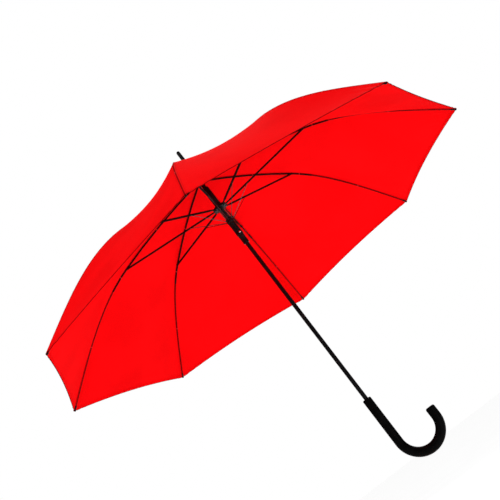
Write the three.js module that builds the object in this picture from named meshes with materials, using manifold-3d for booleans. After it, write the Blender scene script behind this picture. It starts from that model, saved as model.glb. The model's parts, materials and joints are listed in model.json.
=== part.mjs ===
// Stick umbrella with eight ribs, an automatic opening runner and a crook handle.
// Units are millimetres, +Z runs up the shaft towards the ferrule. The origin is on the
// shaft axis in the middle of the hand grip, and the crook bends towards +X.
import * as THREE from 'three';
import { mergeVertices } from 'three/addons/utils/BufferGeometryUtils.js';
import Module from 'manifold-3d';

const wasm = await Module();
wasm.setup();

// ---- Driving dimensions --------------------------------------------------------------------
const RIB_COUNT = 8;
const CROWN = 662.5;                // height of the canopy's crown above the grip
const GAP = 0.3;                   // clearance between separate pieces

const SHAFT_R = 4.5;               // shaft tube
const SHAFT_WALL = 0.7;
const SHAFT_BOTTOM = 30;
const BORE_R = 4.85;               // running bore of everything that sits on the shaft

// Depths below the crown are measured down the shaft and turned into heights by up().
const NOTCH_PIVOT = { r: 9, depth: 8.8 };       // rib hinge in the top notch
const RIB_JOINT = { r: 253, depth: 63.5 };      // stretcher joint on the rib
const HUB_PIVOT = { r: 16, depth: 88.5 };       // stretcher's inner end in the upper runner
const COLLAR_PIVOT = { r: 10.2, depth: 126 };   // push wire's inner end at the lower runner
const WIRE_SHARE = 0.28;                        // wire's place along the stretcher, from the hub

const INNER_BOW = 4.87;            // inner rib's ends turn from its chord by this, degrees
const OUTER_LENGTH = 334.5;        // rib length from the stretcher joint to the end of the tip
const OUTER_BEND = 23.74;          // how far the bent rib turns down over that length, degrees
const BEND_POWER = 2.39;           // 1 spreads the bend evenly, more gathers it near the joint
const CRIMP_AT = 60;               // crimp sleeve's end, measured from the stretcher joint
const RIB_W = 2.4;                 // folded steel section of the inner rib
const RIB_H = 2.8;
const ROD_R = 1.1;                 // round outer rod
const ROD_R_END = 0.9;
const TIP_LENGTH = 13;             // cap on the end of the rod
const STRETCHER_W = 4.4;
const STRETCHER_H = 2.8;
const FORK_LENGTH = 36;            // open fork that straddles the rib
const WIRE_R = 0.7;

const CLOTH = 0.6;                 // canopy cloth
const CLOTH_LIFT = 2.8;            // from the rib's centre line to the cloth's inner face
const CLOTH_START = 10;            // radius where the cloth starts at the crown
const HEM_SCALLOP = 0.0152;        // share of the panel's length that the hem draws in
const PANEL_SAG = 19.5;            // inward sag of a stretched panel where it is deepest
const SAG_START = 0.25;            // share of the panel's length where the sag begins
const SAG_POWER = 1.3;             // above 1 moves the deepest sag towards the hem

const FERRULE_LENGTH = 86;         // above the crown
const FERRULE_R = 4.6;

const HANDLE_R = 9.4;
const HANDLE_TOP = 52;
const HANDLE_ROUND = 2.6;          // rounding at both ends of the handle
const HOOK_CENTRE = -53;           // height of the hook's centre
const HOOK_R = 44.8;               // hook's centre line
const HOOK_END = 19;               // straight stretch of the hook's end
const HOOK_SWELL = 0.095;          // how much thicker the hook gets than the grip

const BUTTON_Z = 16;               // release button
const BUTTON_R = 4.6;
const BUTTON_FLOOR = 3.2;          // distance of its pocket's floor from the handle's axis
const BUTTON_TRAVEL = 2.5;

const SPRING_TURNS = 9;
const SPRING_R = 6.5;
const SPRING_WIRE_R = 0.55;

// ---- Materials -----------------------------------------------------------------------------
const material = (color, roughness, metalness) =>
  new THREE.MeshStandardMaterial({ color, roughness, metalness });
const LOOK = {
  cloth: material(0xe30613, 0.75, 0),
  steel: material(0x1b1416, 0.4, 0.8),
  rod: material(0x161314, 0.5, 0.1),
  plastic: material(0x121212, 0.45, 0),
  lacquer: material(0x0c0c0d, 0.25, 0.5),
  grip: material(0x151515, 0.6, 0),
  bright: material(0x6d6f73, 0.35, 1),
};

// ---- Helpers -------------------------------------------------------------------------------
const up = (depth) => CROWN - depth;
const radians = THREE.MathUtils.degToRad;

function volumeOf(geometry) {
  const p = geometry.attributes.position;
  const index = geometry.index.array;
  const [a, b, c] = [new THREE.Vector3(), new THREE.Vector3(), new THREE.Vector3()];
  let volume = 0;
  for (let i = 0; i < index.length; i += 3) {
    a.fromBufferAttribute(p, index[i]);
    b.fromBufferAttribute(p, index[i + 1]);
    c.fromBufferAttribute(p, index[i + 2]);
    volume += a.dot(b.cross(c)) / 6;
  }
  return volume;
}

// Merges shared vertices, drops empty triangles and turns the faces outwards.
function closed(geometry) {
  let merged = geometry.clone();
  merged.deleteAttribute('normal');
  merged.deleteAttribute('uv');
  merged = mergeVertices(merged, 1e-4);
  const kept = [];
  const index = merged.index.array;
  for (let i = 0; i < index.length; i += 3) {
    const [a, b, c] = [index[i], index[i + 1], index[i + 2]];
    if (a !== b && b !== c && c !== a) kept.push(a, b, c);
  }
  merged.setIndex(kept);
  if (volumeOf(merged) < 0) {
    const flipped = [];
    for (let i = 0; i < kept.length; i += 3) flipped.push(kept[i], kept[i + 2], kept[i + 1]);
    merged.setIndex(flipped);
  }
  return merged;
}

function solid(geometry) {
  const g = closed(geometry);
  const vertProperties = new Float32Array(g.attributes.position.array);
  const triVerts = new Uint32Array(g.index.array);
  return new wasm.Manifold(new wasm.Mesh({ numProp: 3, vertProperties, triVerts }));
}

function shell(manifold) {
  const mesh = manifold.getMesh();
  const geometry = new THREE.BufferGeometry();
  geometry.setAttribute('position', new THREE.BufferAttribute(mesh.vertProperties, 3));
  geometry.setIndex(Array.from(mesh.triVerts));
  return geometry;
}

const union = (...pieces) => pieces.reduce((sum, piece) => sum.add(piece));

// Solid of revolution about Z from a closed outline of [radius, height] points.
function turned(outline, sides = 24) {
  const points = outline.map(([r, z]) => new THREE.Vector2(r, z));
  points.push(points[0].clone());
  return new THREE.LatheGeometry(points, sides).rotateX(Math.PI / 2);
}

// Ring about Z between two radii.
const ring = (inner, outer, low, high, sides = 24) =>
  turned([[inner, low], [outer, low], [outer, high], [inner, high]], sides);

// Round bar with its centre at a point, lying along Y.
const crossPin = (radius, length, x, z, y = 0) =>
  new THREE.CylinderGeometry(radius, radius, length, 8).translate(x, y, z);

const block = (dx, dy, dz, x, y, z) => new THREE.BoxGeometry(dx, dy, dz).translate(x, y, z);

const circle = (radius, sides) => Array.from({ length: sides }, (_, i) => {
  const a = (2 * Math.PI * i) / sides;
  return [radius * Math.cos(a), radius * Math.sin(a)];
});

// Lofts a section along stations {at, side, top, scale}, and closes both ends.
function swept(section, stations) {
  const n = section.length;
  const positions = [];
  for (const { at, side, top, scale = 1 } of stations) {
    for (const [u, v] of section) {
      const p = at.clone().addScaledVector(side, u * scale).addScaledVector(top, v * scale);
      positions.push(p.x, p.y, p.z);
    }
  }
  const index = [];
  for (let s = 0; s + 1 < stations.length; s += 1) {
    for (let i = 0; i < n; i += 1) {
      const a = s * n + i;
      const b = s * n + ((i + 1) % n);
      index.push(a, b, b + n, a, b + n, a + n);
    }
  }
  const caps = THREE.ShapeUtils.triangulateShape(section.map(([u, v]) => new THREE.Vector2(u, v)), []);
  const last = (stations.length - 1) * n;
  for (const [a, b, c] of caps) {
    index.push(a, c, b);
    index.push(last + a, last + b, last + c);
  }
  const geometry = new THREE.BufferGeometry();
  geometry.setAttribute('position', new THREE.Float32BufferAttribute(positions, 3));
  geometry.setIndex(index);
  return closed(geometry);
}

// ---- The rib's line, in the plane y = 0 -----------------------------------------------------
const chordSlope = Math.atan2(RIB_JOINT.depth - NOTCH_PIVOT.depth, RIB_JOINT.r - NOTCH_PIVOT.r);
const chord = Math.hypot(RIB_JOINT.depth - NOTCH_PIVOT.depth, RIB_JOINT.r - NOTCH_PIVOT.r);
const bow = radians(INNER_BOW);
const innerLength = (chord * bow) / Math.sin(bow);
const fullLength = innerLength + OUTER_LENGTH;
const crimpLength = innerLength + CRIMP_AT;

// Slope below level at a distance from the notch pivot: an arc up to the stretcher joint, then
// a bend like a cantilever's that fades towards the tip.
function slopeAt(length) {
  if (length <= innerLength) return chordSlope + bow * ((2 * length) / innerLength - 1);
  const left = Math.max(0, 1 - (length - innerLength) / OUTER_LENGTH);
  return chordSlope + bow + radians(OUTER_BEND) * (1 - left ** BEND_POWER);
}

// Point and slope of the rib's centre line at a distance from the notch pivot.
function ribAt(length) {
  const steps = 64;
  let { r, depth } = NOTCH_PIVOT;
  const walk = (from, to) => {
    for (let i = 0; i < steps; i += 1) {
      const slope = slopeAt(from + ((i + 0.5) * (to - from)) / steps);
      r += (Math.cos(slope) * (to - from)) / steps;
      depth += (Math.sin(slope) * (to - from)) / steps;
    }
  };
  walk(0, Math.min(length, innerLength));
  if (length > innerLength) walk(innerLength, length);
  return { r, depth, slope: slopeAt(length) };
}

// Station on the rib's line, with the section's top facing the cloth.
function ribStation(length, scale = 1, lift = 0) {
  const { r, depth, slope } = ribAt(length);
  const top = new THREE.Vector3(Math.sin(slope), 0, Math.cos(slope));
  const at = new THREE.Vector3(r, 0, up(depth)).addScaledVector(top, lift);
  return { at, side: new THREE.Vector3(0, 1, 0), top, scale };
}

const spaced = (from, to, steps) =>
  Array.from({ length: steps + 1 }, (_, i) => from + ((to - from) * i) / steps);

// Station on a straight bar in the plane y = 0, from one {x, z} point towards another.
function barStation(from, to, distance, lift = 0, scale = 1) {
  const along = new THREE.Vector3(to.x - from.x, 0, to.z - from.z).normalize();
  const top = new THREE.Vector3(-along.z, 0, along.x);
  if (top.z < 0) top.negate();
  const at = new THREE.Vector3(from.x, 0, from.z).addScaledVector(along, distance);
  return { at: at.addScaledVector(top, lift), side: new THREE.Vector3(0, 1, 0), top, scale };
}

// ---- Frame pieces --------------------------------------------------------------------------
function inner_rib() {
  const wall = 0.6;
  const w = RIB_W / 2;
  const h = RIB_H / 2;
  const channel = [[-w, -h], [-w + wall, -h], [-w + wall, h - wall], [w - wall, h - wall],
    [w - wall, -h], [w, -h], [w, h], [-w, h]];
  const lengths = [1.2, ...spaced(innerLength / 4, innerLength, 3),
    ...spaced(innerLength + 22, crimpLength - 6, 1)];
  const bar = solid(swept(channel, lengths.map((l) => ribStation(l))));
  const eye = { x: NOTCH_PIVOT.r, z: up(NOTCH_PIVOT.depth) };
  const joint = { x: RIB_JOINT.r, z: up(RIB_JOINT.depth) };
  const headY = STRETCHER_W / 2 + GAP + 0.3;
  const crimp = [crimpLength - 16, crimpLength - 1.5].map((l) => ribStation(l));
  return shell(union(
    bar,
    solid(crossPin(1.7, RIB_W, eye.x, eye.z)),
    solid(crossPin(0.8, 2 * headY, joint.x, joint.z)),
    solid(crossPin(1.3, 0.6, joint.x, joint.z, headY)),
    solid(crossPin(1.3, 0.6, joint.x, joint.z, -headY)),
    solid(swept(circle(1.9, 8), crimp)),
  ).subtract(solid(crossPin(0.95, RIB_W + 2, eye.x, eye.z))));
}

function outer_rod() {
  const steps = 7;
  const lengths = spaced(crimpLength, fullLength - TIP_LENGTH + 3, steps);
  const first = ribStation(crimpLength);
  const rod = lengths.map((l, i) => ribStation(l, 1 - (i / steps) * (1 - ROD_R_END / ROD_R)));
  const knuckle = new THREE.SphereGeometry(ROD_R * 1.04, 6, 4).translate(first.at.x, 0, first.at.z);
  return shell(union(solid(swept(circle(ROD_R, 6), rod)), solid(knuckle)));
}

function tip_cap() {
  const start = fullLength - TIP_LENGTH + 3 + GAP;
  const body = [0, 0.8, 5, 8, 9.6].map((d, i) => ribStation(start + d, [1.5, 2, 1.7, 2, 0.9][i]));
  return swept(circle(1, 8), body);
}

const joint = { x: RIB_JOINT.r, z: up(RIB_JOINT.depth) };
const hub = { x: HUB_PIVOT.r, z: up(HUB_PIVOT.depth) };
const collar = { x: COLLAR_PIVOT.r, z: up(COLLAR_PIVOT.depth) };
const stretcherLength = Math.hypot(joint.x - hub.x, joint.z - hub.z);

// Channel that opens downwards, so that the folded rib lies in it, with a fork round the joint.
function stretcher() {
  const wall = 0.7;
  const w = STRETCHER_W / 2;
  const h = STRETCHER_H / 2;
  const tongue = 16;
  const bar = (section, from, to) =>
    solid(swept(section, [barStation(hub, joint, from), barStation(hub, joint, to)]));
  const plate = (low, high, bottom, top) => [[low, bottom], [high, bottom], [high, top], [low, top]];
  const end = stretcherLength + 1.6;
  return shell(union(
    bar(plate(-w, -w + wall, -h, h), tongue - 4, end),
    bar(plate(w - wall, w, -h, h), tongue - 4, end),
    bar(plate(-w, w, h - wall, h), tongue - 4, stretcherLength - FORK_LENGTH),
    bar(plate(-RIB_W / 2, RIB_W / 2, -h, h), 0, tongue - 3.4),
    bar(plate(-w, w, -h, h), tongue - 4, tongue - 3),
    solid(crossPin(1.4, RIB_W, hub.x, hub.z)),
  ).subtract(solid(crossPin(1.15, 8, joint.x, joint.z)))
    .subtract(solid(crossPin(0.6, 8, hub.x, hub.z))));
}

// Wire from the lower runner to the inside of the stretcher's channel.
function push_wire() {
  const { at } = barStation(hub, joint, WIRE_SHARE * stretcherLength);
  const from = { x: collar.x, z: collar.z };
  const to = { x: at.x, z: at.z };
  const length = Math.hypot(to.x - from.x, to.z - from.z);
  return swept(circle(WIRE_R, 6), [0, 0.5, 1].map((t) => barStation(from, to, t * length)));
}

// Turned body with straight slots for the eight bars cut in from outside.
function slotted(outline, slotFloor, slotLow, slotHigh) {
  let body = solid(turned(outline, 24));
  const depth = 12;
  for (let k = 0; k < RIB_COUNT; k += 1) {
    const slot = block(depth, RIB_W + 2 * GAP, slotHigh - slotLow, slotFloor + depth / 2, 0,
      (slotHigh + slotLow) / 2).rotateZ((k * 2 * Math.PI) / RIB_COUNT);
    body = body.subtract(solid(slot));
  }
  return body;
}

function top_notch() {
  const z = up(NOTCH_PIVOT.depth);
  const outline = [[BORE_R, z - 9], [8.2, z - 9], [11.2, z - 4.5], [11.2, z + 0.4], [10.2, z + 1.2],
    [BORE_R, z + 1.2]];
  const body = slotted(outline, 6.6, z - 12, z + 4);
  const groove = new THREE.TorusGeometry(NOTCH_PIVOT.r, 0.95, 6, 24).translate(0, 0, z);
  return shell(body.subtract(solid(groove)));
}

const notch_ring_wire = () =>
  closed(new THREE.TorusGeometry(NOTCH_PIVOT.r, 0.5, 5, 24).translate(0, 0, up(NOTCH_PIVOT.depth)));

function upper_runner() {
  const z = up(HUB_PIVOT.depth);
  const outline = [[BORE_R, z - 5.2], [8, z - 5.2], [9.4, z - 4], [16.4, z - 3], [17.4, z - 2],
    [17.4, z + 2.4], [16.4, z + 3.4], [9, z + 4.6], [BORE_R, z + 4.6]];
  return shell(slotted(outline, 11.8, z - 9, z + 9));
}

function lower_runner() {
  const z = up(COLLAR_PIVOT.depth);
  const outline = [[BORE_R, z - 66], [6.4, z - 66], [6.7, z - 65], [6.7, z - 43], [7.9, z - 42],
    [7.9, z - 6.2], [9, z - 5.2], [9, z - 1.4], [8.1, z - 0.9], [8.1, z + 0.9], [9, z + 1.4],
    [9, z + 3.6], [8.4, z + 4.2], [BORE_R, z + 4.2]];
  const rivet = new THREE.CylinderGeometry(2.2, 2.4, 2, 12).translate(0, -7.6, z - 37)
    .rotateZ(Math.PI / RIB_COUNT);
  return shell(union(solid(turned(outline, 16)), solid(rivet)));
}

// Compression spring on the shaft between the two runners.
function opening_spring() {
  const low = up(COLLAR_PIVOT.depth) + 4.2 + GAP + 0.6;
  const high = up(HUB_PIVOT.depth) - 5.2 - GAP - 0.6;
  const perTurn = 9;
  const stations = spaced(0, 1, SPRING_TURNS * perTurn).map((t) => {
    const a = 2 * Math.PI * SPRING_TURNS * t;
    const side = new THREE.Vector3(Math.cos(a), Math.sin(a), 0);
    const at = side.clone().multiplyScalar(SPRING_R).setZ(low + (high - low) * t);
    return { at, side, top: new THREE.Vector3(0, 0, 1) };
  });
  return swept(circle(SPRING_WIRE_R, 5), stations);
}

const stop_sleeve = () => turned([[BORE_R, up(82)], [7, up(82)], [7.5, up(81)], [7.5, up(31)],
  [6.8, up(29)], [BORE_R, up(29)]], 16);

const shaft_tube = () => ring(SHAFT_R - SHAFT_WALL, SHAFT_R, SHAFT_BOTTOM, up(-8), 24);

function crown_cap() {
  const outline = [[BORE_R, up(4)], [12, up(5.4)], [12, up(4.6)], [10, up(3.2)], [BORE_R, up(2.4)]];
  return turned(outline, 24);
}

function ferrule() {
  const end = up(-FERRULE_LENGTH);
  const outline = [[0, up(-8.4)], [BORE_R, up(-8.4)], [BORE_R, up(2)], [6.6, up(2)], [6.6, up(-2)],
    [FERRULE_R + 0.4, up(-9)], [FERRULE_R, up(-20)], [FERRULE_R - 0.3, end - 4.5],
    [FERRULE_R - 0.8, end - 2.4], [FERRULE_R - 1.9, end - 0.7], [1.2, end], [0, end]];
  const points = outline.map(([r, z]) => new THREE.Vector2(r, z));
  return new THREE.LatheGeometry(points, 20).rotateX(Math.PI / 2);
}

// ---- Handle --------------------------------------------------------------------------------
function handle() {
  const station = (x, z, turn, scale = 1) => ({
    at: new THREE.Vector3(x, 0, z),
    side: new THREE.Vector3(0, 1, 0),
    top: new THREE.Vector3(Math.cos(turn), 0, Math.sin(turn)),
    scale,
  });
  const inset = 1 - HANDLE_ROUND / HANDLE_R;
  const swell = (turn) => 1 + HOOK_SWELL * Math.sin(0.75 * turn);
  const endX = 2 * HOOK_R;
  const endZ = HOOK_CENTRE + HOOK_END;
  const half = 1 - 0.3 * (HANDLE_ROUND / HANDLE_R);
  const stations = [station(0, HANDLE_TOP, 0, inset), station(0, HANDLE_TOP - 0.3 * HANDLE_ROUND, 0, half),
    station(0, HANDLE_TOP - HANDLE_ROUND, 0)];
  for (const a of spaced(0, 180, 14)) {
    const turn = radians(a);
    stations.push(station(HOOK_R - HOOK_R * Math.cos(turn), HOOK_CENTRE - HOOK_R * Math.sin(turn), turn,
      swell(turn)));
  }
  const last = swell(Math.PI);
  stations.push(station(endX, endZ - HANDLE_ROUND, Math.PI, last),
    station(endX, endZ - 0.3 * HANDLE_ROUND, Math.PI, last * half), station(endX, endZ, Math.PI, last * inset));
  const boreLength = HANDLE_TOP + 5 - SHAFT_BOTTOM + GAP;
  const bore = new THREE.CylinderGeometry(BORE_R, BORE_R, boreLength, 24).rotateX(Math.PI / 2)
    .translate(0, 0, SHAFT_BOTTOM - GAP + boreLength / 2);
  const pocket = new THREE.CylinderGeometry(BUTTON_R + 0.4, BUTTON_R + 0.4, 12, 20).translate(0, BUTTON_FLOOR + 6, BUTTON_Z);
  return shell(solid(swept(circle(HANDLE_R, 18), stations)).subtract(solid(bore))
    .subtract(solid(pocket)));
}

// Round push button on the side of the handle, in a pocket as deep as its travel.
function release_button() {
  const low = BUTTON_FLOOR + BUTTON_TRAVEL + GAP;
  const high = HANDLE_R + 1.1;
  const outline = [[0, low], [BUTTON_R, low], [BUTTON_R, high - 0.8], [BUTTON_R - 1, high], [0, high]];
  const points = outline.map(([r, y]) => new THREE.Vector2(r, y));
  return closed(new THREE.LatheGeometry(points, 20)).translate(0, 0, BUTTON_Z);
}

// ---- Canopy --------------------------------------------------------------------------------
const clothEnd = fullLength - 0.5;
const clothStart = (CLOTH_START - NOTCH_PIVOT.r) / Math.cos(slopeAt(0));

// Point of the cloth for a rib at azimuth 0. t runs from crown to hem and q from this rib, 0,
// to the middle of the panel, 0.5, on the side of the sign. lift is measured off the rib's line.
function clothPoint(t, q, sign, lift) {
  const drawn = 1 - 4 * HEM_SCALLOP * t * q * (1 - q);
  const length = clothStart + (clothEnd - clothStart) * t * drawn;
  const { at, top } = ribStation(length, 1, lift);
  const step = (sign * 2 * Math.PI) / RIB_COUNT;
  const along = Math.max(0, (t - SAG_START) / (1 - SAG_START)) ** SAG_POWER;
  const sag = PANEL_SAG * Math.sin(Math.PI * along) * 4 * q * (1 - q);
  const x = at.x * (1 - q) + at.x * Math.cos(step) * q - sag * top.x * Math.cos(step * q);
  const y = at.x * Math.sin(step) * q - sag * top.x * Math.sin(step * q);
  return new THREE.Vector3(x, y, at.z - sag * top.z);
}

// Closed sheet over a grid of points, given by its inner and outer faces.
function sheet(rows, columns, point) {
  const positions = [];
  for (const face of [0, 1]) {
    for (let i = 0; i <= rows; i += 1) {
      for (let j = 0; j <= columns; j += 1) positions.push(...point(i / rows, j / columns, face));
    }
  }
  const wide = columns + 1;
  const size = (rows + 1) * wide;
  const index = [];
  const quad = (a, b, c, d) => index.push(a, b, c, a, c, d);
  for (let i = 0; i < rows; i += 1) {
    for (let j = 0; j < columns; j += 1) {
      const a = i * wide + j;
      quad(a, a + wide, a + wide + 1, a + 1);
      quad(size + a, size + a + 1, size + a + wide + 1, size + a + wide);
    }
  }
  for (let j = 0; j < columns; j += 1) {
    const b = rows * wide + j;
    quad(j, j + 1, size + j + 1, size + j);
    quad(b + 1, b, size + b, size + b + 1);
  }
  for (let i = 0; i < rows; i += 1) {
    const a = i * wide;
    const b = a + columns;
    quad(a + wide, a, size + a, size + a + wide);
    quad(b, b + wide, size + b + wide, size + b);
  }
  const geometry = new THREE.BufferGeometry();
  geometry.setAttribute('position', new THREE.Float32BufferAttribute(positions, 3));
  geometry.setIndex(index);
  return closed(geometry);
}

// Rows of the cloth: few on the inner part of the rib, closer where it bends most.
const BEND_STARTS = (innerLength - clothStart) / (clothEnd - clothStart);
const INNER_ROWS = 4;
const OUTER_ROWS = 8;
function rowShare(row) {
  if (row <= INNER_ROWS) return (BEND_STARTS * row) / INNER_ROWS;
  return BEND_STARTS + (1 - BEND_STARTS) * ((row - INNER_ROWS) / OUTER_ROWS) ** 1.2;
}

// One rib's share of the canopy: half of the panel on each side of it.
function gore() {
  const rows = INNER_ROWS + OUTER_ROWS;
  return sheet(rows, 8, (along, across, face) => {
    const side = (across - 0.5) * 0.9985;
    const lift = CLOTH_LIFT + face * CLOTH;
    const p = clothPoint(rowShare(Math.round(along * rows)), Math.abs(side), Math.sign(side) || 1, lift);
    return [p.x, p.y, p.z];
  });
}

// Narrow strap that lies on the outside of the cloth and buttons round the closed canopy.
function closing_strap() {
  const lift = CLOTH_LIFT + CLOTH + 5 * GAP;
  const firstRow = INNER_ROWS + 2;
  const rows = INNER_ROWS + OUTER_ROWS - 1 - firstRow;
  return sheet(rows, 1, (along, across, face) => {
    const t = rowShare(firstRow + Math.round(along * rows));
    const p = clothPoint(t, (0.012 + 0.045 * across) / t, 1, lift + face * CLOTH);
    return [p.x, p.y, p.z];
  });
}

// ---- Assembly ------------------------------------------------------------------------------
const umbrella = new THREE.Group();

function add(name, geometry, look, parent = umbrella) {
  const mesh = new THREE.Mesh(geometry, look);
  mesh.name = name;
  parent.add(mesh);
}

add('shaft_tube', shaft_tube(), LOOK.lacquer);
add('ferrule', ferrule(), LOOK.lacquer);
add('crown_cap', crown_cap(), LOOK.plastic);
add('top_notch', top_notch(), LOOK.plastic);
add('notch_ring_wire', notch_ring_wire(), LOOK.bright);
add('stop_sleeve', stop_sleeve(), LOOK.plastic);
add('upper_runner', upper_runner(), LOOK.plastic);
add('opening_spring', opening_spring(), LOOK.steel);
add('lower_runner', lower_runner(), LOOK.plastic);
add('handle', handle(), LOOK.grip);
add('release_button', release_button(), LOOK.plastic);

const ribPieces = [['rib', inner_rib(), LOOK.steel], ['rib_rod', outer_rod(), LOOK.rod],
  ['tip_cap', tip_cap(), LOOK.plastic], ['stretcher', stretcher(), LOOK.steel],
  ['push_wire', push_wire(), LOOK.steel], ['canopy_gore', gore(), LOOK.cloth]];
const STRAP_RIB = 3;
for (let k = 1; k <= RIB_COUNT; k += 1) {
  const spoke = new THREE.Group();
  spoke.rotation.z = ((k - 1) * 2 * Math.PI) / RIB_COUNT;
  for (const [name, geometry, look] of ribPieces) add(`${name}_${k}`, geometry, look, spoke);
  if (k === STRAP_RIB) add('closing_strap', closing_strap(), LOOK.cloth, spoke);
  umbrella.add(spoke);
}

export default umbrella;
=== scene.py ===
"""Looks of the stick umbrella: cloth canopy, smooth frame pieces, materials, floor, light and camera."""
import json
import math

import bmesh
import bpy
import numpy as np
from mathutils import Matrix, Vector


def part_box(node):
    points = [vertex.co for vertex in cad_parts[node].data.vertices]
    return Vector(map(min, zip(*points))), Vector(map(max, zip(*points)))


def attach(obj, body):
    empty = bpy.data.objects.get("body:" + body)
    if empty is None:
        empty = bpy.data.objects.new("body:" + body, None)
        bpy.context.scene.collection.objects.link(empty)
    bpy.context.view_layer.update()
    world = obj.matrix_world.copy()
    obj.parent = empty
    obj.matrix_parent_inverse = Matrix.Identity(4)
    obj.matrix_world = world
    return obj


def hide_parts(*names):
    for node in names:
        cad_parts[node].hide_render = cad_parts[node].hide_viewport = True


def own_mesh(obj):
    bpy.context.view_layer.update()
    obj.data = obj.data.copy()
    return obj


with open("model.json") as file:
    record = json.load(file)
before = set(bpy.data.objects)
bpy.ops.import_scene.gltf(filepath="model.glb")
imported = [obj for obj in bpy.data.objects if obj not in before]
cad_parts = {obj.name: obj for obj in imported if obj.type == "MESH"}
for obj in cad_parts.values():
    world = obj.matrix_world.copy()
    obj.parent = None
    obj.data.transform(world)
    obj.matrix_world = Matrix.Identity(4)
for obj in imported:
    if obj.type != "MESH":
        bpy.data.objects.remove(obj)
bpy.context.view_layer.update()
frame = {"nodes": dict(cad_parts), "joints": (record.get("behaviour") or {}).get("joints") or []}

MM = 0.001
RIBS = range(1, 9)
STEP = math.radians(45)

# ---- Sizes in millimetres, worked out from the frame where it has them -----------------------
JOINTS = {joint["name"]: joint for joint in frame["joints"]}


def hinge(name):
    """Radius and height of a rib 1 hinge, in the plane y = 0."""
    x, _, z = JOINTS[name]["pos_m"]
    return x / MM, z / MM


NOTCH = hinge("rib_1_hinge")
JOINT = hinge("stretcher_1_pivot")
INNER_BOW = math.radians(4.87)       # the inner rib's ends turn from its chord by this
OUTER_LENGTH = 334.5                 # rib from the stretcher joint to the end of the tip
OUTER_BEND = math.radians(23.74)     # how far the rib turns down over that length
BEND_POWER = 2.39                    # 1 spreads the bend evenly, more gathers it near the joint
CRIMP_AT = 60.0                      # from the stretcher joint to the crimp
TIP_LENGTH = 13.0
CHORD_SLOPE = math.atan2(NOTCH[1] - JOINT[1], JOINT[0] - NOTCH[0])
CHORD = math.hypot(JOINT[0] - NOTCH[0], JOINT[1] - NOTCH[1])
INNER_LENGTH = CHORD * INNER_BOW / math.sin(INNER_BOW)
CRIMP_LENGTH = INNER_LENGTH + CRIMP_AT
FULL_LENGTH = INNER_LENGTH + OUTER_LENGTH
CLOTH_START = 1.0
CLOTH_END = FULL_LENGTH - 0.5
CLOTH_LIFT = 2.5                     # cloth above the rib's line
HEM_SCALLOP = 0.0152                 # share of the panel's length that the hem draws in
PANEL_SAG = 19.5                     # inward sag of a stretched panel where it is deepest
SAG_START = 0.25                     # share of the panel's length where the sag begins
SAG_POWER = 1.3                      # above 1 moves the deepest sag towards the hem
HEM_FOLD = 8.0                       # width of the hem's turned-in edge
HALF_PANEL = 200.0                   # half a panel's width at the hem, for spacing columns
INNER_KEEP = 0.26                    # share of its width that each soft piece keeps when furled
OUTER_KEEP = 0.09

SHAFT_LOW, SHAFT_HIGH = (corner.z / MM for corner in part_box("shaft_tube"))
SHAFT_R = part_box("shaft_tube")[1].x / MM
HANDLE_TOP = (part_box("handle")[1] / MM).z
GRIP_R = 9.4
HOOK_SWELL = 0.095
HOOK_R = 44.8
HOOK_CENTRE = -53.0
HOOK_END = 19.0


# ---- Mesh helpers ---------------------------------------------------------------------------
def mesh_piece(name, points, faces, material, smooth=True, sharp=35):
    """A mesh piece from points in millimetres."""
    mesh = bpy.data.meshes.new(name)
    mesh.from_pydata([Vector(p) * MM for p in points], [], faces)
    mesh.validate()
    mesh.materials.append(material)
    piece = bpy.data.objects.new(name, mesh)
    bpy.context.scene.collection.objects.link(piece)
    if smooth:
        mesh.polygons.foreach_set("use_smooth", [True] * len(mesh.polygons))
        if sharp:
            mesh.set_sharp_from_angle(angle=math.radians(sharp))
    return piece


def fix_normals(piece):
    """Turns a closed mesh's faces outwards."""
    work = bmesh.new()
    work.from_mesh(piece.data)
    bmesh.ops.recalc_face_normals(work, faces=work.faces)
    work.to_mesh(piece.data)
    work.free()
    return piece


def loft(name, rings, material, closed_ends=True, sharp=35):
    """Joins rings of points, all with the same count, into a tube."""
    count = len(rings[0])
    points = [p for ring in rings for p in ring]
    faces = []
    for r in range(len(rings) - 1):
        for i in range(count):
            a, b = r * count + i, r * count + (i + 1) % count
            faces.append((a, b, b + count, a + count))
    if closed_ends:
        faces.append(tuple(range(count))[::-1])
        faces.append(tuple((len(rings) - 1) * count + i for i in range(count)))
    return fix_normals(mesh_piece(name, points, faces, material, sharp=sharp))


def circle(centre, side, top, radius, count):
    """Points of a circle about a centre, in the plane of two directions."""
    turn = [2 * math.pi * i / count for i in range(count)]
    return [centre + side * (radius * math.cos(a)) + top * (radius * math.sin(a)) for a in turn]


def turned(name, profile, material, count=48, origin=(0, 0, 0), axis=(0, 0, 1), sharp=35):
    """A solid of revolution from (radius, distance along the axis) points, in millimetres."""
    along = Vector(axis).normalized()
    side = along.orthogonal().normalized()
    top = along.cross(side)
    rings = [circle(Vector(origin) + along * z, side, top, max(r, 0.02), count) for r, z in profile]
    return loft(name, rings, material, sharp=sharp)


def bevelled(points, radius, steps=3):
    """A profile whose inner corners are rounded off by a radius."""
    out = [points[0]]
    for before, corner, after in zip(points, points[1:], points[2:]):
        c = Vector(corner)
        a, b = Vector(before) - c, Vector(after) - c
        reach = min(radius, a.length * 0.45, b.length * 0.45)
        start, end = c + a.normalized() * reach, c + b.normalized() * reach
        for i in range(steps + 1):
            t = i / steps
            out.append(tuple(start * (1 - t) ** 2 + c * 2 * t * (1 - t) + end * t * t))
    return out + [points[-1]]


def ride(piece, body, slot, *nodes):
    """Puts a piece on its body and hides the CAD nodes it stands for; its slot argument is not used."""
    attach(piece, body)
    if nodes:
        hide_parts(*nodes)
    return piece


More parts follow.
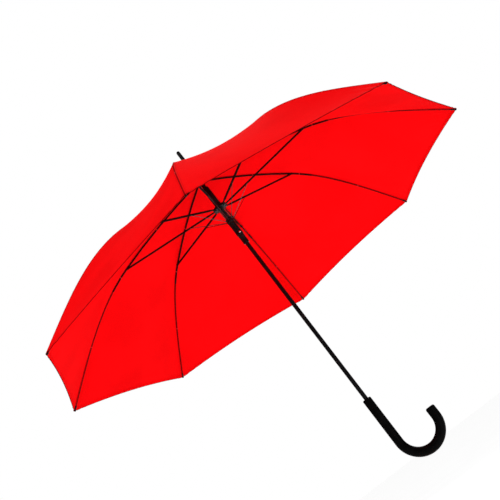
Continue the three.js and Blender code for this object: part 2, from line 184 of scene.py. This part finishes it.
# ---- Materials ------------------------------------------------------------------------------
class Nodes:
    """Short calls for building a node material."""

    def __init__(self, name):
        self.material = bpy.data.materials.new(name)
        self.material.use_nodes = True
        self.tree = self.material.node_tree
        self.shader = self.tree.nodes["Principled BSDF"]
        self.output = self.tree.nodes["Material Output"]

    def add(self, kind, **values):
        node = self.tree.nodes.new(kind)
        for key, value in values.items():
            setattr(node, key, value)
        return node

    def link(self, a, b):
        self.tree.links.new(a, b)

    def math(self, operation, a, b=None):
        node = self.add("ShaderNodeMath", operation=operation)
        for socket, value in zip(node.inputs, (a, b)):
            if isinstance(value, bpy.types.NodeSocket):
                self.link(value, socket)
            elif value is not None:
                socket.default_value = value
        return node.outputs[0]

    def wave(self, value, pitch):
        """Sine wave along a value, with its pitch in the value's own unit."""
        return self.math("SINE", self.math("MULTIPLY", value, 2 * math.pi / pitch))

    def ramp(self, value, low, high, start=0.0, end=1.0):
        """value mapped smoothly from low..high to start..end."""
        node = self.add("ShaderNodeMapRange", interpolation_type="SMOOTHSTEP")
        self.link(value, node.inputs["Value"])
        for key, number in (("From Min", low), ("From Max", high), ("To Min", start), ("To Max", end)):
            node.inputs[key].default_value = number
        return node.outputs["Result"]

    def noise(self, scale, detail=3.0, stretch=(1, 1, 1)):
        place = self.add("ShaderNodeTexCoord")
        mapping = self.add("ShaderNodeMapping")
        mapping.inputs["Scale"].default_value = stretch
        self.link(place.outputs["Object"], mapping.inputs["Vector"])
        node = self.add("ShaderNodeTexNoise")
        node.inputs["Scale"].default_value = scale
        node.inputs["Detail"].default_value = detail
        self.link(mapping.outputs["Vector"], node.inputs["Vector"])
        return node.outputs["Fac"]

    def mix(self, factor, a, b):
        node = self.add("ShaderNodeMix", data_type="RGBA")
        self.link(factor, node.inputs["Factor"])
        for socket, value in ((node.inputs[6], a), (node.inputs[7], b)):
            if isinstance(value, bpy.types.NodeSocket):
                self.link(value, socket)
            else:
                socket.default_value = (*value, 1)
        return node.outputs[2]

    def bump(self, height, distance, strength=1.0):
        node = self.add("ShaderNodeBump")
        node.inputs["Strength"].default_value = strength
        node.inputs["Distance"].default_value = distance
        self.link(height, node.inputs["Height"])
        self.link(node.outputs["Normal"], self.shader.inputs["Normal"])
        return node.outputs["Normal"]

    def attribute(self, name):
        return self.add("ShaderNodeAttribute", attribute_name=name).outputs["Fac"]


STITCH_PITCH = 3.2
STITCH_GAP = -0.2        # height of the stitch wave below which the thread is under the cloth
STITCH_FROM_SEAM = 3.4
STITCH_FROM_EDGE = 6.2
WEAVE_PITCH = 0.45
LIGHT_THROUGH = 0.38


def cloth_material():
    """Red woven polyester: stitched seams over the ribs, a stitched hem, light showing through."""
    n = Nodes("red_cloth")
    seam, hem, along, across = (n.attribute(a) for a in ("seam_mm", "hem_mm", "along_mm", "across_mm"))

    def stitches(distance, place, run):
        off = n.math("ABSOLUTE", n.math("SUBTRACT", distance, place))
        dash = n.math("GREATER_THAN", n.wave(run, STITCH_PITCH), STITCH_GAP)
        return n.math("MULTIPLY", dash, n.ramp(off, 0.2, 0.5, 1, 0))

    seam_line = n.ramp(seam, 0.5, 1.7, 1, 0)
    # Painted shade: the outermost 1.8 mm of cloth at the hem is darkened towards CLOTH_RED_DARK as a dark
    # edge.
    hem_painted_shade = n.ramp(hem, 0.3, 1.8, 1, 0)
    seam_lines_and_hem_shade = n.math("MAXIMUM", seam_line, hem_painted_shade)
    threads = n.math("MAXIMUM", stitches(seam, STITCH_FROM_SEAM, along),
                     stitches(hem, STITCH_FROM_EDGE, across))
    slub = n.noise(900, 4, (1, 1, 0.25))
    tone = n.noise(9, 3)
    red = n.mix(n.ramp(tone, 0.35, 0.65), CLOTH_RED, CLOTH_RED_DEEP)
    red = n.mix(n.math("MULTIPLY", n.ramp(slub, 0.45, 0.7), 0.12), red, CLOTH_RED_DARK)
    red = n.mix(n.math("MULTIPLY", threads, 0.35), red, CLOTH_RED_DARK)
    # Seam lines are darkened as dark joints; the hem edge is darkened as painted shade.
    red = n.mix(n.math("MULTIPLY", seam_lines_and_hem_shade, 0.85), red, CLOTH_RED_DARK)
    n.link(red, n.shader.inputs["Base Color"])
    n.link(n.ramp(slub, 0.2, 0.8, 0.62, 0.78), n.shader.inputs["Roughness"])
    n.shader.inputs["Specular IOR Level"].default_value = 0.01
    weave = n.math("MULTIPLY", n.wave(along, WEAVE_PITCH), n.wave(across, WEAVE_PITCH))
    height = n.math("ADD", n.math("MULTIPLY", weave, 0.15), n.math("MULTIPLY", threads, 1.2))
    height = n.math("ADD", height, n.math("MULTIPLY", slub, 0.5))
    normal = n.bump(height, 0.00012, 0.5)
    through = n.add("ShaderNodeBsdfTranslucent")
    n.link(red, through.inputs["Color"])
    n.link(normal, through.inputs["Normal"])
    both = n.add("ShaderNodeMixShader")
    both.inputs["Fac"].default_value = LIGHT_THROUGH
    n.link(n.shader.outputs["BSDF"], both.inputs[1])
    n.link(through.outputs["BSDF"], both.inputs[2])
    n.link(both.outputs["Shader"], n.output.inputs["Surface"])
    return n.material


def hard_material(name, low, high, rough, grain, depth, metallic=0.0, shine=0.5, wear=0.0):
    """A moulded, lacquered or drawn surface: two tones, uneven roughness and a fine grain."""
    n = Nodes(name)
    cloud = n.noise(60, 4)
    fine = n.noise(grain, 5)
    colour = n.mix(n.ramp(cloud, 0.35, 0.7), low, high)
    if wear:
        rubbed = n.math("MULTIPLY", n.ramp(n.noise(25, 6), 0.56, 0.74), wear)
        colour = n.mix(rubbed, colour, tuple(min(1, c * 3 + 0.01) for c in high))
    n.link(colour, n.shader.inputs["Base Color"])
    n.link(n.ramp(cloud, 0.3, 0.75, rough[0], rough[1]), n.shader.inputs["Roughness"])
    n.shader.inputs["Metallic"].default_value = metallic
    n.shader.inputs["Specular IOR Level"].default_value = shine
    n.bump(fine, depth, 0.6)
    return n.material


CLOTH_RED = (0.93, 0.0020, 0.0036)
CLOTH_RED_DEEP = (0.87, 0.0016, 0.0030)
CLOTH_RED_DARK = (0.15, 0.0004, 0.0007)
CLOTH = cloth_material()
STRAP_CLOTH = hard_material("strap_cloth", CLOTH_RED_DEEP, CLOTH_RED, (0.65, 0.8), 2500, 0.00012)
CLOTH_THREAD = hard_material("thread", (0.5, 0.002, 0.004), (0.62, 0.004, 0.006), (0.6, 0.8), 3000, 0.0001)
LACQUER = hard_material("shaft_lacquer", (0.002, 0.002, 0.0022), (0.004, 0.004, 0.0044), (0.14, 0.24),
                        700, 0.00003, shine=0.2, wear=0.05)
PLASTIC = hard_material("black_plastic", (0.002, 0.002, 0.002), (0.005, 0.005, 0.0053), (0.25, 0.4),
                        1500, 0.00005, shine=0.1)
GRIP = hard_material("handle_grip", (0.001, 0.001, 0.001), (0.002, 0.002, 0.0021), (0.4, 0.55),
                     2200, 0.00009, shine=0.02, wear=0.03)
STEEL = hard_material("rib_steel", (0.006, 0.002, 0.002), (0.012, 0.004, 0.004), (0.35, 0.5),
                      1800, 0.00004, shine=0.03, wear=0.08)
# Dark red-brown: a dark rod colour with a painted red reflection of the cloth mixed into it.
ROD = hard_material("rib_rod", (0.035, 0.002, 0.002), (0.055, 0.003, 0.003), (0.4, 0.55), 1500, 0.00004,
                    shine=0.03)
SPRING = hard_material("spring_steel", (0.02, 0.018, 0.018), (0.05, 0.046, 0.045), (0.22, 0.4),
                       1200, 0.00003, metallic=0.8)
BRIGHT = hard_material("ring_wire", (0.5, 0.5, 0.52), (0.62, 0.62, 0.64), (0.18, 0.3),
                       1200, 0.00002, metallic=1.0)


# ---- The rib's line ---------------------------------------------------------------------------
def slope_at(length):
    """Slope below level of the bent rib at distances from its notch pivot."""
    inner = CHORD_SLOPE + INNER_BOW * (2 * length / INNER_LENGTH - 1)
    left = np.clip(1 - (length - INNER_LENGTH) / OUTER_LENGTH, 0, 1)
    outer = CHORD_SLOPE + INNER_BOW + OUTER_BEND * (1 - left ** BEND_POWER)
    return np.where(length <= INNER_LENGTH, inner, outer)


LINE_LENGTHS = np.linspace(0, FULL_LENGTH, 2000)
MIDDLES = (LINE_LENGTHS[1:] + LINE_LENGTHS[:-1]) / 2
PIECE = LINE_LENGTHS[1]
LINE = np.stack([NOTCH[0] + np.concatenate([[0], np.cumsum(np.cos(slope_at(MIDDLES))) * PIECE]),
                 NOTCH[1] - np.concatenate([[0], np.cumsum(np.sin(slope_at(MIDDLES))) * PIECE]),
                 slope_at(LINE_LENGTHS)], axis=1)


def line_at(length):
    """Radius, height and slope of the rib's line."""
    return [np.interp(length, LINE_LENGTHS, LINE[:, i]) for i in range(3)]


FOLD_HEIGHT, FOLD_PITCH, FOLD_REACH = 0.9, 19, 45
FOLD_START = 0.8         # share of the panel's length where the tip's folds begin
RIDGE_HEIGHT, RIDGE_WIDTH = 0.5, 1.8


def tip_folds(share, width):
    """Height of the small folds that run from a tightly tied tip into the cloth."""
    near = max(0.0, (share - FOLD_START) / (1 - FOLD_START)) ** 2
    return FOLD_HEIGHT * near * math.sin(2 * math.pi * width / FOLD_PITCH) * math.exp(-width / FOLD_REACH)


def cloth_point(length, share, q, sign, lift):
    """Point of the cloth of a rib at azimuth 0, with q from the rib, 0, to mid-panel, 0.5."""
    width = q * 2 * HALF_PANEL
    drawn = 1 - 4 * HEM_SCALLOP * share * q * (1 - q)
    r, z, slope = line_at(CLOTH_START + (length - CLOTH_START) * drawn)
    ridge = RIDGE_HEIGHT * math.exp(-((width * share + 0.3) / RIDGE_WIDTH) ** 2)
    rise = lift + ridge + tip_folds(share, width)
    x, z = r + rise * math.sin(slope), z + rise * math.cos(slope)
    sag = 0.0
    if share > SAG_START:
        along = ((share - SAG_START) / (1 - SAG_START)) ** SAG_POWER
        sag = PANEL_SAG * math.sin(math.pi * min(1.0, along)) * 4 * q * (1 - q)
    inwards = sag * math.sin(slope)
    return Vector((x * (1 - q) + x * math.cos(STEP) * q - inwards * math.cos(STEP * q),
                   sign * (x * math.sin(STEP) * q - inwards * math.sin(STEP * q)), z - sag * math.cos(slope)))


COLUMN_WIDTHS = [0, 1.2, 2.4, 4, 6.5, 9.5, 13, 17, 21, 25, 29, 34, 40, 47, 55, 65, 78, 94, 112, 132,
                 154, 177, 200]
NUDGE = 0.004            # step between columns' neighbours when a normal is worked out
COLUMNS = [-w / HALF_PANEL / 2 for w in COLUMN_WIDTHS[:0:-1]] + [w / HALF_PANEL / 2 for w in COLUMN_WIDTHS]


def gore_piece(name, azimuth, lengths, with_hem):
    """Half a panel on each side of a rib, between two lengths along it."""
    rows = [(length, CLOTH_LIFT) for length in lengths]
    if with_hem:
        end = lengths[-1]
        rows += [(end + 0.35, CLOTH_LIFT - 0.45), (end - 0.5, CLOTH_LIFT - 0.95),
                 (end - HEM_FOLD, CLOTH_LIFT - 0.75)]
    turn = Matrix.Rotation(azimuth, 3, "Z")
    points, normals, data = [], [], {"seam_mm": [], "hem_mm": [], "along_mm": [], "across_mm": []}
    last = len(lengths)
    for i, (length, lift) in enumerate(rows):
        share = min(1.0, (length - CLOTH_START) / (CLOTH_END - CLOTH_START))
        for q in COLUMNS:
            sign = -1.0 if q < 0 else 1.0
            here = cloth_point(length, share, abs(q), sign, lift)
            points.append(turn @ here)
            ahead = cloth_point(length + 2, share, abs(q), sign, lift)
            if abs(q) == 0.5:
                across = Matrix.Rotation(sign * STEP / 2, 3, "Z") @ Vector((0, sign, 0))
            elif q == 0:
                across = Vector((0, 1, 0))
            else:
                beside = cloth_point(length, share, min(abs(q) + NUDGE, 0.5), sign, lift)
                inside = cloth_point(length, share, max(abs(q) - NUDGE, 0.0), sign, lift)
                across = beside - inside
            normal = (ahead - here).cross(across) * (1 if q == 0 else sign)
            if i > last:
                normal = -normal
            normals.append((turn @ normal).normalized())
            r = math.hypot(here.x, here.y)
            data["seam_mm"].append(abs(q) * 2 * r * math.sin(STEP / 2))
            data["across_mm"].append(q * 2 * r * math.sin(STEP / 2))
            data["along_mm"].append(length)
            data["hem_mm"].append(max(0.0, CLOTH_END - length))
    wide = len(COLUMNS)
    faces = []
    for i in range(len(rows) - 1):
        for j in range(wide - 1):
            a = i * wide + j
            faces.append((a, a + wide, a + wide + 1, a + 1))
    piece = mesh_piece(name, points, faces, CLOTH, sharp=None)
    mesh = piece.data
    for key, values in data.items():
        mesh.attributes.new(key, "FLOAT", "POINT").data.foreach_set("value", values)
    mesh.normals_split_custom_set_from_vertices(normals)
    return piece


def spaced(start, end, count):
    """Evenly spaced values, with both ends."""
    return [start + (end - start) * i / count for i in range(count + 1)]


def canopy():
    """Eight ribs' shares of the cloth, each split at the crimp so that it follows the rib's flex."""
    inner = spaced(CLOTH_START, INNER_LENGTH, 9) + spaced(INNER_LENGTH, CRIMP_LENGTH, 6)[1:]
    outer = spaced(CRIMP_LENGTH, CLOTH_END - 16, 22) + spaced(CLOTH_END - 16, CLOTH_END, 6)[1:]
    for k in RIBS:
        azimuth = (k - 1) * STEP
        for name, body, lengths, hem, keep in (("canopy_inner", f"rib_arm_{k}", inner, False, INNER_KEEP),
                                               ("canopy_outer", f"rib_end_{k}", outer, True, OUTER_KEEP)):
            piece = gore_piece(f"{name}_{k}", azimuth, lengths, hem)
            ride(piece, body, "red_cloth", f"canopy_gore_{k}")
            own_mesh(piece)


# ---- Pieces on each rib -----------------------------------------------------------------------
def rib_direction(length, azimuth, lift=0.0):
    """Point, direction and outward normal on a rib's line, in millimetres."""
    r, z, slope = line_at(length)
    turn = Matrix.Rotation(azimuth, 3, "Z")
    normal = turn @ Vector((math.sin(slope), 0, math.cos(slope)))
    point = turn @ Vector((r, 0, z)) + normal * lift
    return point, turn @ Vector((math.cos(slope), 0, -math.sin(slope))), normal


TIP_PROFILE = [(0.9, -2.2), (1.5, -2.0), (1.75, -1.2), (1.75, 1.5), (1.45, 2.4), (1.45, 6.2), (1.9, 7.2),
               (2.1, 8.4), (1.9, 9.6), (1.2, 10.4), (0.3, 10.7)]
TIE_PROFILE = [(0.0, -0.9), (0.5, -0.55), (0.62, 0.0), (0.5, 0.55), (0.0, 0.9)]


def thread_tie(name, length, azimuth):
    """Thread wound round the rib that ties the cloth's seam to it."""
    centre, along, normal = rib_direction(length, azimuth, 0.9)
    side = along.cross(normal)
    rings = []
    for swell, at in TIE_PROFILE:
        ring = []
        for i in range(16):
            a = 2 * math.pi * i / 16
            ring.append(centre + along * at + side * ((1.75 + swell) * math.cos(a))
                        + normal * ((2.0 + swell) * math.sin(a)))
        rings.append(ring)
    return loft(name, rings, CLOTH_THREAD)


def rib_details():
    """A turned tip cap and three thread ties on each rib."""
    for k in RIBS:
        azimuth = (k - 1) * STEP
        start, along, _ = rib_direction(FULL_LENGTH - TIP_LENGTH + 2, azimuth)
        tip = turned(f"rib_tip_{k}", TIP_PROFILE, PLASTIC, 20, start, along)
        ride(tip, f"rib_end_{k}", "black_plastic", f"tip_cap_{k}")
        for name, length, body in (("tie_inner", INNER_LENGTH * 0.55, "rib_arm"),
                                   ("tie_joint", INNER_LENGTH + 22, "rib_arm"),
                                   ("tie_outer", CRIMP_LENGTH + 130, "rib_end")):
            ride(thread_tie(f"{name}_{k}", length, azimuth), f"{body}_{k}", "red_cloth")


STRAP_MIDDLE = 15.0      # from the rib to the strap's middle
STRAP_SECTION = ((6, 1.0), (STRAP_MIDDLE, 1.15), (24, 1.0), (24, 1.7), (STRAP_MIDDLE, 1.9), (6, 1.7))


def closing_strap():
    """Strap with a press stud, lying on the outside of the cloth next to a rib."""
    azimuth = 2 * STEP
    turn = Matrix.Rotation(azimuth, 3, "Z")
    lengths = spaced(CRIMP_LENGTH + 60, CLOTH_END - 12, 24)
    rings = []
    for length in lengths:
        share = (length - CLOTH_START) / (CLOTH_END - CLOTH_START)
        ring = []
        for width, lift in STRAP_SECTION:
            q = width / (2 * HALF_PANEL) / share
            ring.append(turn @ cloth_point(length, share, q, 1, CLOTH_LIFT + lift))
        rings.append(ring)
    strap = loft("strap", rings, STRAP_CLOTH, sharp=50)
    ride(strap, "rib_end_3", "red_cloth", "closing_strap")
    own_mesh(strap)
    share = (lengths[-2] - CLOTH_START) / (CLOTH_END - CLOTH_START)
    centre = turn @ cloth_point(lengths[-2] - 4, share, STRAP_MIDDLE / (2 * HALF_PANEL), 1, CLOTH_LIFT + 1.8)
    _, _, normal = rib_direction(lengths[-2], azimuth)
    stud_profile = bevelled([(0.1, 0), (5.2, 0), (5.2, 0.9), (3.4, 1.5), (2.4, 1.1), (0.1, 1.1)], 0.4)
    ride(turned("press_stud", stud_profile, PLASTIC, 32, centre, normal), "rib_end_3", "black_plastic")


# ---- Shaft, runners and handle ----------------------------------------------------------------
def shaft():
    """Shaft tube, ferrule and the ringed stop sleeve."""
    inset = SHAFT_R - 0.7
    profile = [(inset, SHAFT_LOW), (SHAFT_R, SHAFT_LOW + 0.3),
               (SHAFT_R, SHAFT_HIGH - 0.3), (inset, SHAFT_HIGH)]
    ride(turned("shaft", profile, LACQUER, 48), "stick", "shaft_lacquer", "shaft_tube")
    base, tip = (corner.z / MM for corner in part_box("ferrule"))
    outline = [(5.0, base), (6.6, base), (6.6, base + 4.2), (5.9, base + 4.8), (5.9, base + 6.2),
               (5.1, base + 7.2), (4.9, base + 14), (4.4, tip - 12), (4.35, tip - 5), (3.9, tip - 2.6),
               (2.9, tip - 0.9), (1.2, tip), (0.1, tip)]
    ride(turned("ferrule_cap", bevelled(outline, 0.6), PLASTIC, 40), "stick", "shaft_lacquer", "ferrule")
    low, high = (corner.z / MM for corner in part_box("stop_sleeve"))
    outline = [(4.95, low), (7.2, low), (7.5, low + 1)]
    for z in spaced(low + 4, low + 16, 5):
        outline += [(7.5, z - 0.8), (7.15, z - 0.4), (7.15, z + 0.4), (7.5, z + 0.8)]
    outline += [(7.5, high - 2), (6.8, high), (4.95, high)]
    ride(turned("sleeve", outline, PLASTIC, 40), "stick", "black_plastic", "stop_sleeve")


def lower_runner():
    """Collar with a ringed finger grip and a rivet on each side."""
    low, high = (corner.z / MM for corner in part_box("lower_runner"))
    outline = [(4.95, low), (6.3, low), (6.7, low + 0.8), (6.7, low + 18), (7.3, low + 18.4),
               (7.3, low + 20.4), (6.7, low + 20.8), (6.7, low + 23), (7.9, low + 24)]
    for z in spaced(low + 34, low + 52, 6):
        outline += [(7.9, z - 1.1), (7.5, z - 0.6), (7.5, z + 0.6), (7.9, z + 1.1)]
    outline += [(7.9, high - 10.6), (9, high - 9.4), (9, high - 5.6), (8.1, high - 5.1), (8.1, high - 3.3),
                (9, high - 2.8), (9, high - 0.6), (8.4, high), (4.95, high)]
    piece = turned("runner_body", bevelled(outline, 0.25, 2), PLASTIC, 48)
    ride(piece, "lower_slide", "black_plastic", "lower_runner")
    for turn in (-math.pi / 2 + STEP / 2, math.pi / 2 + STEP / 2):
        axis = Vector((math.cos(turn), math.sin(turn), 0))
        origin = axis * 6.9 + Vector((0, 0, low + 28.8))
        profile = bevelled([(0.05, 0), (2.5, 0), (2.5, 1.4), (1.7, 1.9), (0.05, 2.0)], 0.3)
        side = "front" if turn < 0 else "back"
        ride(turned(f"runner_rivet_{side}", profile, BRIGHT, 24, origin, axis), "lower_slide", "ring_wire")


def spring():
    """Coil that is pressed between the two runner parts."""
    low, high = (corner.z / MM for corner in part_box("opening_spring"))
    turns, per_turn, wire, radius = 9, 28, 0.6, 6.5
    rings = []
    for i in range(turns * per_turn + 1):
        a = 2 * math.pi * i / per_turn
        out = Vector((math.cos(a), math.sin(a), 0))
        z = low + wire + (high - low - 2 * wire) * i / (turns * per_turn)
        rings.append(circle(out * radius + Vector((0, 0, z)), out, Vector((0, 0, 1)), wire, 10))
    coil = loft("coil_spring", rings, SPRING)
    ride(coil, "upper_slide", "spring_steel", "opening_spring")
    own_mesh(coil)


def handle():
    """Crook: a straight grip, a half circle and a short upright end with eased edges."""
    top, end = HANDLE_TOP, HOOK_CENTRE + HOOK_END
    side = Vector((0, 1, 0))
    path = [(Vector((0, 0, top - d)), Vector((1, 0, 0)), s)
            for d, s in ((0, 0.74), (0.2, 0.85), (0.8, 0.94), (1.7, 0.985), (2.8, 1.0), (40, 1.0), (75, 1.0))]
    for i in range(61):
        a = math.pi * i / 60
        centre = Vector((HOOK_R - HOOK_R * math.cos(a), 0, HOOK_CENTRE - HOOK_R * math.sin(a)))
        path.append((centre, Vector((math.cos(a), 0, math.sin(a))), 1 + HOOK_SWELL * math.sin(0.75 * a)))
    last = 1 + HOOK_SWELL * math.sin(0.75 * math.pi)
    path += [(Vector((2 * HOOK_R, 0, end - d)), Vector((-1, 0, 0)), s * last)
             for d, s in ((10, 1.0), (4.2, 1.0), (2.6, 0.98), (1.3, 0.92), (0.45, 0.83), (0.0, 0.72))]
    rings = [circle(centre, side, out, GRIP_R * scale, 48) for centre, out, scale in path]
    piece = loft("crook_handle", rings, GRIP, sharp=60)
    ride(piece, "stick", "handle_grip", "handle")


EASED_EDGE = 0.18
SHARP_EDGE = math.radians(40)


def frame_finish():
    """Materials and eased edges for the CAD nodes that stay as they are."""
    looks = {"crown_cap": PLASTIC, "top_notch": PLASTIC, "notch_ring_wire": BRIGHT, "upper_runner": PLASTIC,
             "release_button": PLASTIC}
    for k in RIBS:
        looks |= {f"rib_{k}": STEEL, f"rib_rod_{k}": ROD, f"stretcher_{k}": STEEL, f"push_wire_{k}": SPRING}
    for name, material in looks.items():
        node = frame["nodes"][name]
        node.data.materials.clear()
        node.data.materials.append(material)
        node.data.polygons.foreach_set("use_smooth", [True] * len(node.data.polygons))
        node.data.set_sharp_from_angle(angle=SHARP_EDGE)
        if name.startswith(("stretcher", "upper", "top", "crown", "release")):
            ease = node.modifiers.new("eased_edges", "BEVEL")
            ease.width = EASED_EDGE * MM
            ease.segments = 2
            ease.limit_method = "ANGLE"
            ease.angle_limit = SHARP_EDGE


# ---- Stage ----------------------------------------------------------------------------------
CROWN_HEIGHT = 0.6625
TARGET_BELOW_CROWN = 0.208
VIEW_TILT = math.radians(71.91)      # between the shaft and the line of sight
VIEW_TURN = math.radians(-86.69)
VIEW_ROLL = math.radians(-37.41)
VIEW_DISTANCE = 1.7017
LENS = 56.22
SENSOR = 36
LIGHT_TARGET = Vector((0, 0, 0.45))
WORLD_LIGHT, WORLD_REFLECTED, WORLD_SEEN = 0.5, 0.08, 1.0
FLOOR_REACH, FLOOR_HEIGHT = 30000, -450      # millimetres


def view_axes():
    """The view's right and up directions, and the direction from its target to the camera."""
    towards = Vector((math.sin(VIEW_TILT) * math.cos(VIEW_TURN), math.sin(VIEW_TILT) * math.sin(VIEW_TURN),
                      -math.cos(VIEW_TILT)))
    up = (Vector((0, 0, 1)) - towards * towards.z).normalized()
    right = up.cross(towards)
    rolled = right * math.cos(VIEW_ROLL) + up * math.sin(VIEW_ROLL)
    return rolled, towards.cross(rolled), towards


def camera():
    """Camera below the canopy's rim, with the shaft leaning across the view."""
    right, up, towards = view_axes()
    data = bpy.data.cameras.new("camera")
    data.lens = LENS
    data.sensor_width = SENSOR
    data.shift_x = -0.0024
    data.shift_y = -0.0031
    view = bpy.data.objects.new("camera", data)
    bpy.context.scene.collection.objects.link(view)
    target = Vector((0, 0, CROWN_HEIGHT - TARGET_BELOW_CROWN))
    turn = Matrix((right, up, towards)).transposed().to_4x4()
    view.matrix_world = Matrix.Translation(target + towards * VIEW_DISTANCE) @ turn
    bpy.context.scene.camera = view


def softbox(name, place, size, power):
    """Round area light, hidden from the camera, that faces the canopy."""
    light = bpy.data.lights.new(name, "AREA")
    light.shape = "DISK"
    light.size = size
    light.energy = power
    lamp = bpy.data.objects.new(name, light)
    lamp.location = place
    lamp.rotation_euler = (place - LIGHT_TARGET).to_track_quat("Z", "Y").to_euler()
    lamp.visible_camera = False
    bpy.context.scene.collection.objects.link(lamp)


def background(tree, strength):
    node = tree.nodes.new("ShaderNodeBackground")
    node.inputs["Color"].default_value = (1, 1, 1, 1)
    node.inputs["Strength"].default_value = strength
    return node.outputs["Background"]


def either(tree, choice, no, yes):
    node = tree.nodes.new("ShaderNodeMixShader")
    for socket, value in zip(node.inputs, (choice, no, yes)):
        tree.links.new(value, socket)
    return node.outputs["Shader"]


def lights():
    """White surroundings, dimmer in reflections, and three softboxes."""
    world = bpy.data.worlds.new("studio")
    world.use_nodes = True
    tree = world.node_tree
    tree.nodes.remove(tree.nodes["Background"])
    path = tree.nodes.new("ShaderNodeLightPath")
    on_object = either(tree, path.outputs["Is Glossy Ray"], background(tree, WORLD_LIGHT),
                       background(tree, WORLD_REFLECTED))
    seen = either(tree, path.outputs["Is Camera Ray"], on_object, background(tree, WORLD_SEEN))
    tree.links.new(seen, tree.nodes["World Output"].inputs["Surface"])
    bpy.context.scene.world = world
    bpy.context.scene.view_settings.view_transform = "Standard"
    right, up, towards = view_axes()
    softbox("front", LIGHT_TARGET + towards * 2.0 + right * 1.2 + up * 0.1, 1.6, 60)
    softbox("left", LIGHT_TARGET + towards * 1.4 - right * 2.0 + up * 0.8, 1.8, 22)
    softbox("back", LIGHT_TARGET - towards * 2.4 + up * 1.6 + right * 0.6, 2.0, 45)


def floor():
    """Plain white floor well below the handle."""
    n = Nodes("floor")
    n.link(n.mix(n.ramp(n.noise(3, 2), 0.3, 0.7), (0.9, 0.9, 0.9), (0.93, 0.93, 0.93)),
           n.shader.inputs["Base Color"])
    n.shader.inputs["Roughness"].default_value = 0.9
    n.shader.inputs["Emission Color"].default_value = (1, 1, 1, 1)
    n.shader.inputs["Emission Strength"].default_value = 0.55
    corners = [(x * FLOOR_REACH, y * FLOOR_REACH, FLOOR_HEIGHT)
               for x, y in ((-1, -1), (1, -1), (1, 1), (-1, 1))]
    mesh_piece("floor", corners, [(0, 1, 2, 3)], n.material, smooth=False)


camera()
lights()
floor()
canopy()
rib_details()
closing_strap()
shaft()
lower_runner()
spring()
handle()
frame_finish()

bpy.context.view_layer.update()
